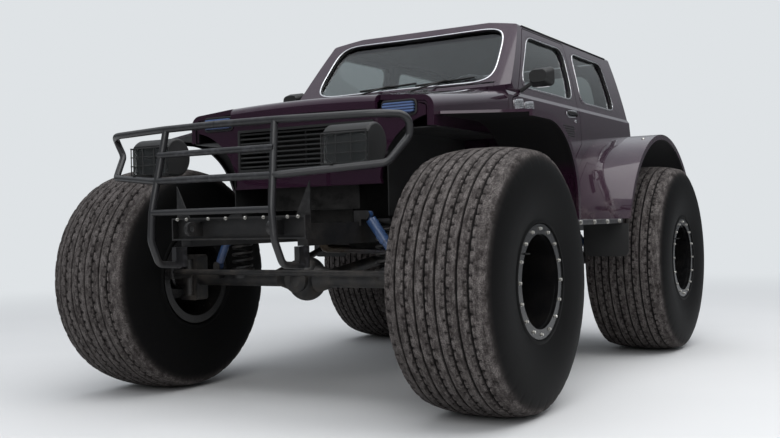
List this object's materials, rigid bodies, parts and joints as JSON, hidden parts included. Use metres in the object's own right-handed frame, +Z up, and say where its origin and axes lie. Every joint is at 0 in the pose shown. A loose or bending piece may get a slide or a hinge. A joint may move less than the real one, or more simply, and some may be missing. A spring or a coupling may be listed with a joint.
{
  "type": "monster truck",
  "caption": "Raised two-door off-roader on huge low-pressure balloon tyres, with tubular bull bar, wide wheel-arch flares, running boards, opening doors, bonnet and tailgate.",
  "frame": {"origin": "on the ground, under the middle of the vehicle's length and width", "axes": "+X forward, +Y to the vehicle's left, +Z up"},
  "size_m": [4.0937, 2.65, 2.1818],
  "materials": {
    "body_paint": "gloss plum-purple metallic paint",
    "black_steel": "satin black powder-coated steel",
    "chassis_paint": "matt black chassis paint, a little dusty",
    "underbody_paint": "black underbody coating",
    "rim_paint": "satin black painted steel rim",
    "spring_steel": "black coated spring steel",
    "damper_paint": "blue painted damper tubes",
    "cast_metal": "raw casting, dull and oily",
    "exhaust_steel": "heat-dulled steel tube",
    "tyre_rubber": "black rubber, dusty brown-grey on the tread",
    "black_plastic": "grained black moulded plastic",
    "cabin_plastic": "dark grey grained cabin plastic",
    "seat_cloth": "dark grey woven seat cloth",
    "clear_glass": "clear toughened glass, faintly grey",
    "lamp_glass": "clear ribbed lamp lens",
    "lamp_plastic": "amber and red lamp lenses"
  },
  "bodies": {
    "chassis": {"arch_liners": "black_plastic", "body_sides": "body_paint", "bull_bar": "black_steel", "coil_springs": "spring_steel", "dampers": "damper_paint", "dashboard": "cabin_plastic", "engine_block": "cast_metal", "exhaust_pipe": "exhaust_steel", "firewall": "body_paint", "floor_pan": "underbody_paint", "front_axle": "chassis_paint", "front_flares": "body_paint", "front_panel": "body_paint", "front_wings": "body_paint", "fuel_tank": "chassis_paint", "gearbox": "cast_metal", "grille": "black_plastic", "headlamp_lenses": "lamp_glass", "headlamp_pods": "black_plastic", "ladder_frame": "chassis_paint", "marker_lamps": "lamp_plastic", "mud_flaps": "black_plastic", "propeller_shafts": "chassis_paint", "quarter_glass": "clear_glass", "radiator": "cast_metal", "rear_axle": "chassis_paint", "rear_flares": "body_paint", "rear_panel": "body_paint", "roof": "body_paint", "running_boards": "black_steel", "seats": "seat_cloth", "suspension_links": "chassis_paint", "wheel_houses": "underbody_paint", "windscreen": "clear_glass"},
    "bonnet": {"bonnet": "body_paint"},
    "left_door": {"door_left": "body_paint", "door_glass_left": "clear_glass", "door_mirror_left": "black_plastic"},
    "right_door": {"door_right": "body_paint", "door_glass_right": "clear_glass", "door_mirror_right": "black_plastic"},
    "tailgate": {"tailgate": "body_paint", "tailgate_glass": "clear_glass"},
    "left_knuckle": {"steering_knuckle_left": "chassis_paint"},
    "right_knuckle": {"steering_knuckle_right": "chassis_paint"},
    "tie_rod": {"tie_rod": "chassis_paint"},
    "steering_wheel": {"steering_wheel": "cabin_plastic"},
    "wheel_front_left": {"tyre_front_left": "tyre_rubber", "rim_front_left": "rim_paint"},
    "wheel_front_right": {"tyre_front_right": "tyre_rubber", "rim_front_right": "rim_paint"},
    "wheel_rear_left": {"tyre_rear_left": "tyre_rubber", "rim_rear_left": "rim_paint"},
    "wheel_rear_right": {"tyre_rear_right": "tyre_rubber", "rim_rear_right": "rim_paint"}
  },
  "joints": [
    {"name": "left_steer", "type": "hinge", "parent": "chassis", "child": "left_knuckle", "pos_m": [1.2205, 0.86, 0.635], "axis": [0, 0, 1], "range_deg": [-22, 22]},
    {"name": "right_steer", "type": "hinge", "parent": "chassis", "child": "right_knuckle", "pos_m": [1.2205, -0.86, 0.635], "axis": [0, 0, 1], "range_deg": [-22, 22]},
    {"name": "tie_rod_eye", "type": "hinge", "parent": "left_knuckle", "child": "tie_rod", "pos_m": [1.3705, 0.86, 0.633], "axis": [0, 0, 1], "range_deg": [-22, 22]},
    {"name": "steering_wheel_turn", "type": "hinge", "parent": "chassis", "child": "steering_wheel", "pos_m": [-0.0495, 0.37, 1.64], "axis": [-0.8829, 0, 0.4695], "range_deg": [-353, 353]},
    {"name": "bonnet_hinge", "type": "hinge", "parent": "chassis", "child": "bonnet", "pos_m": [1.2825, 0, 1.488], "axis": [0, 1, 0], "range_deg": [0, 60]},
    {"name": "left_door_hinge", "type": "hinge", "parent": "chassis", "child": "left_door", "pos_m": [0.3155, 0.791, 1.3], "axis": [0, 0, -1], "range_deg": [0, 62]},
    {"name": "right_door_hinge", "type": "hinge", "parent": "chassis", "child": "right_door", "pos_m": [0.3155, -0.791, 1.3], "axis": [0, 0, 1], "range_deg": [0, 62]},
    {"name": "tailgate_hinge", "type": "hinge", "parent": "chassis", "child": "tailgate", "pos_m": [-1.7515, 0, 2.088], "axis": [0, 1, 0], "range_deg": [0, 80]},
    {"name": "front_left_wheel_spin", "type": "hinge", "parent": "left_knuckle", "child": "wheel_front_left", "pos_m": [1.2205, 1.053, 0.635], "axis": [0, 1, 0], "continuous": true},
    {"name": "front_right_wheel_spin", "type": "hinge", "parent": "right_knuckle", "child": "wheel_front_right", "pos_m": [1.2205, -1.053, 0.635], "axis": [0, 1, 0], "continuous": true},
    {"name": "rear_left_wheel_spin", "type": "hinge", "parent": "chassis", "child": "wheel_rear_left", "pos_m": [-1.3555, 1.053, 0.635], "axis": [0, 1, 0], "continuous": true},
    {"name": "rear_right_wheel_spin", "type": "hinge", "parent": "chassis", "child": "wheel_rear_right", "pos_m": [-1.3555, -1.053, 0.635], "axis": [0, 1, 0], "continuous": true}
  ],
  "couplings": [
    {"joint": "right_steer", "follows": "left_steer", "ratio": 1},
    {"joint": "tie_rod_eye", "follows": "left_steer", "ratio": -1},
    {"joint": "steering_wheel_turn", "follows": "left_steer", "ratio": 16}
  ]
}
